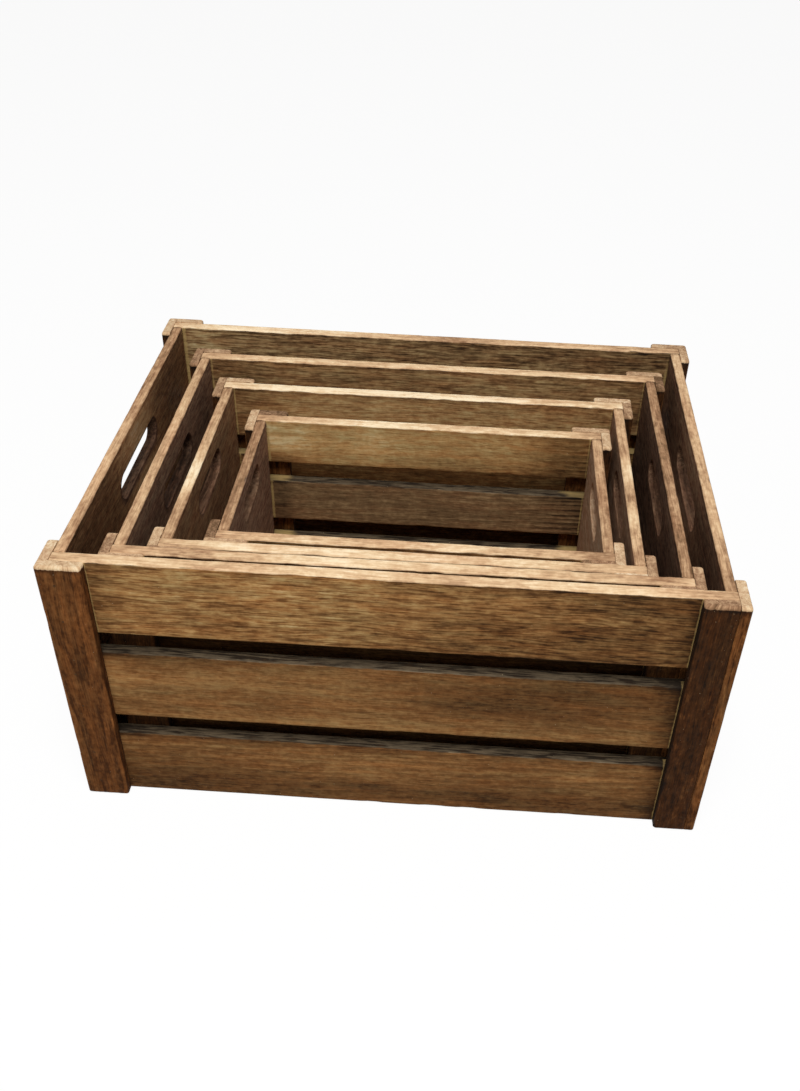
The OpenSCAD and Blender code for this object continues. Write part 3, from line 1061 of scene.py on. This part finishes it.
def end_panel(k, crate, end):
    """A panel whose hole is shorter and nearer to the rim in each smaller crate."""
    node = f"{crate}_{end}_end_panel"
    key = f"{crate}_{end}"
    low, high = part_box(node)
    radius = HOLE_HEIGHT / 2
    straight = (HOLE_LENGTH - k * HOLE_LENGTH_STEP) / 2 - radius
    hole_z = high.z - HOLE_DROP + k * HOLE_DROP_STEP - radius
    board = holed_board(low, high, node, straight, radius - HOLE_EASE, hole_z)
    middle, half = (low.y + high.y) / 2, (high.y - low.y) / 2
    from_joint = half - np.abs(board["points"][:, 1] - middle) + PANEL_JOINT_OFF
    outside = board["facing"][:, 0] * (-1 if end == "left" else 1) > 0
    inside, rim, smoke, wall = PANEL_LOOKS[key]
    bare = np.where(outside, PANEL_OUTSIDE, spotted(board, inside, PANEL_SPOTS.get(key, ())))
    bare = np.where(board["wall"], wall, bare)
    smoke = np.where(board["wall"], WALL_SMOKE, np.where(outside, 0, smoke))
    rim = spotted(board, rim, PANEL_RIM_SPOTS.get(key, ()))
    remember(board, crate, bare, PANEL_STREAK, PANEL_RINGS, rim, PANEL_WARMTH, smoke, from_joint)
    return make_piece(node, [board], panel_wood)


panels = [end_panel(k, c, e) for k, c in enumerate(CRATES) for e in ("left", "right")]
print(len(panels), "panels of", len(panels[0].data.vertices), "points")

# %% [markdown]
# ## Corner posts
# A post is an L of two upright boards: a face board nailed over the slat ends and a side board on the
# end panel. The posts are all alike and only turned, so the face board covers the side board's edge at
# the front left and the back right, and the side board covers the face board's edge at the other two
# corners. The seam is a butt joint with crisp edges, and only the edges that hands meet are eased.

# %% How the posts are burnt
# bare, streak, rings, warmth
POST_LOOKS = {
    "large_front_left_face": (0.38, 0.55, 0.10, 0.90),
    "large_front_right_face": (0.20, 0.65, 0.05, 0.85),
    "large_front_right_side": (0.45, 0.8, 0.06, 0.85),
    "medium_front_left_face": (0.24, 0.6, 0.08, 0.70),
    "medium_front_right_face": (0.26, 0.6, 0.08, 0.70),
}
PLAIN_POST = (0.38, 0.7, 0.08, 0.70)
POST_RIM = 0.56
POST_RIM_SPREAD = 0.08
POST_RIMS = {
    "large_front_left_face": 0.74, "large_front_left_side": 0.76, "large_front_right_face": 0.30,
    "large_front_right_side": 0.66, "large_back_left_face": 0.74, "large_back_left_side": 0.78,
    "large_back_right_face": 0.40, "large_back_right_side": 0.64, "medium_front_left_face": 0.66,
    "medium_front_left_side": 0.30, "medium_front_right_face": 0.38, "medium_front_right_side": 0.36,
    "medium_back_left_face": 0.44, "medium_back_left_side": 0.26, "medium_back_right_face": 0.52,
    "medium_back_right_side": 0.12, "small_front_left_face": 0.42, "small_front_left_side": 0.62,
    "small_front_right_face": 0.78, "small_front_right_side": 0.44, "small_back_left_side": 0.46,
    "small_back_right_face": 0.78, "small_back_right_side": 0.32, "mini_front_left_side": 0.26,
    "mini_front_right_face": 0.40, "mini_front_right_side": 0.66, "mini_back_left_face": 0.26,
    "mini_back_right_face": 0.62, "mini_back_right_side": 0.74,
}
POST_SPOTS = {
    "large_front_left_face": ((0.95, 0.5, 0.2, 3.0, 0.03), (0.5, 0.0, WHOLE, 0.06, 0.14),
                              (0.5, 1.0, WHOLE, 0.04, 0.12), (0.8, 0.4, 0.08, 0.3, 0.05),
                              (0.7, 0.9, 0.35, 0.10, 0.06)),
    "large_front_right_side": ((0.0, 0.5, 0.2, WHOLE, -0.13), (1.0, 0.5, 0.06, WHOLE, -0.16)),
}
PITH_UNDER = (0.002, -0.020)
print(len(POST_LOOKS), "post boards have looks of their own")

# %% Posts
POST_THICK = 0.0075
POST_SEAM = 0.0001
POST_EDGE = 0.00175
POST_CRISP = 0.0004
POST_END = 0.0020
POST_SANDED = 0.0014
FREE_EDGE_BURN = 0.20


def post_radii(outside, corner, covers):
    """The radius of each corner of a post board: eased outside, but crisp inside and at the seam."""
    return [POST_EDGE if out == outside and (across != corner or covers) else POST_CRISP
            for across, out in CORNERS]


def post_board(node, part, low, high, out, outside, corner, covers):
    """One upright board of a post, with its own burn: its edge away from the corner is nearly black."""
    crate = node.split("_")[0]
    key = node.replace("corner_post", part)
    bare, streak, rings, warmth = POST_LOOKS.get(key, PLAIN_POST)
    chance = np.random.default_rng(seed_of(key)).uniform(-POST_RIM_SPREAD, POST_RIM_SPREAD)
    rim = POST_RIMS.get(key, POST_RIM) + chance
    radii = post_radii(outside, corner, covers)
    eased = (BOTH if covers else (-corner,), (outside,))
    board = sawn_board(low, high, 2, out, f"{node}_{part}", radii, POST_END, PITH_UNDER, eased)
    free = np.clip(-corner * board["facing"][:, 1 - out], 0, 1)
    bare = spotted(board, bare, POST_SPOTS.get(key, ())) - FREE_EDGE_BURN * free ** 4
    return remember(board, crate, bare, streak, rings, rim, warmth, sanded=POST_SANDED)


def corner_post(crate, side, end):
    """Two boards along Z: the node's box, divided at the seam between the covering and the covered.

    Each board starts as the whole box. A comparison then picks which of its two corners moves: False is
    the low one and True the high one.
    """
    node = f"{crate}_{side}_{end}_corner_post"
    back = -1 if side == "front" else 1
    right = -1 if end == "left" else 1
    low, high = (np.array(corner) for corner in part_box(node))
    outer = np.where((right, back, 0) > np.zeros(3), high, low)
    seam = outer - np.array((right, back, 0)) * (POST_THICK + POST_SEAM)
    face, lap = [low.copy(), high.copy()], [low.copy(), high.copy()]
    face[back < 0][1] = outer[1] - back * POST_THICK
    lap[right < 0][0] = outer[0] - right * POST_THICK
    face_covers = back == right
    if face_covers:
        lap[back > 0][1] = seam[1]
    else:
        face[right > 0][0] = seam[0]
    boards = [
        post_board(node, "face", *face, 1, back, right, face_covers),
        post_board(node, "side", *lap, 0, right, back, not face_covers),
    ]
    return make_piece(node, boards, post_wood)


posts = [corner_post(c, s, e) for c in CRATES for s in ("front", "back") for e in ("left", "right")]
print(len(posts), "posts")

# %% [markdown]
# ## Floor
# Boards lie lengthwise on two battens. The flame hardly reached them, so they are less burnt.

# %% Floor boards and battens
FLOOR_COUNT = {"large": 4, "medium": 3, "small": 3, "mini": 2}
FLOOR_GAP = 0.003
BATTEN_WIDE = 0.012
# bare, streak, rings, rim, warmth
FLOOR_LOOKS = (0.52, 0.8, 0.06, 0.5, 0.35)


def floor_boards(crate):
    """The floor's box, divided evenly along Y with a gap between two boards."""
    node = crate + "_floor_boards"
    low, high = (np.array(corner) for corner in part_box(node))
    count = FLOOR_COUNT[crate]
    wide = (high[1] - low[1] - (count - 1) * FLOOR_GAP) / count
    boards = []
    for i in range(count):
        start = low[1] + i * (wide + FLOOR_GAP)
        board = sawn_board((low[0], start, low[2]), (high[0], start + wide, high[2]), 0, 2,
                           f"{node}_{i}", [BOARD_EDGE] * 4)
        board["facing"][:] = 0
        boards.append(remember(board, crate, *FLOOR_LOOKS))
    return make_piece(node, boards, floor_wood)


def floor_battens(crate):
    """Two boards along Y, one at each end of the battens' box."""
    node = crate + "_floor_battens"
    low, high = (np.array(corner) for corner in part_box(node))
    boards = []
    for i, start in enumerate((low[0], high[0] - BATTEN_WIDE)):
        board = sawn_board((start, low[1], low[2]), (start + BATTEN_WIDE, high[1], high[2]), 1, 2,
                           f"{node}_{i}", [BOARD_EDGE] * 4)
        boards.append(remember(board, crate, *FLOOR_LOOKS))
    return make_piece(node, boards, floor_wood)


floors = [floor_boards(c) for c in CRATES] + [floor_battens(c) for c in CRATES]
print(len(floors), "floor pieces")

# %% [markdown]
# ## Brads
# The brads' own solids have the right shape already, so they stay, and get a finish: steel that the
# flame has blued and browned.

# %% Brads
STEEL_DARK = (0.045, 0.021, 0.009)
STEEL_LIGHT = (0.110, 0.056, 0.024)
SCALE_PATCHES = (900, 900, 900)


def scorched_steel():
    """Grey steel under brown scale, in patches."""
    material, shader, wire = new_material("scorched_steel")
    place = wire.node("TexCoord", out="Object")
    patch = place.noise(SCALE_PATCHES, 3)
    feed(shader, Base_Color=patch.ramp(((0.3, STEEL_DARK), (0.7, STEEL_LIGHT))),
         Roughness=0.9 - patch * 0.3, Metallic=patch.step(0.45, 0.7) * 0.1)
    feed(shader, Specular_IOR_Level=0.1)
    return material


steel = scorched_steel()
for crate in CRATES:
    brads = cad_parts[crate + "_brads"]
    brads.data.materials.clear()
    brads.data.materials.append(steel)
print("Brads in", steel.name)
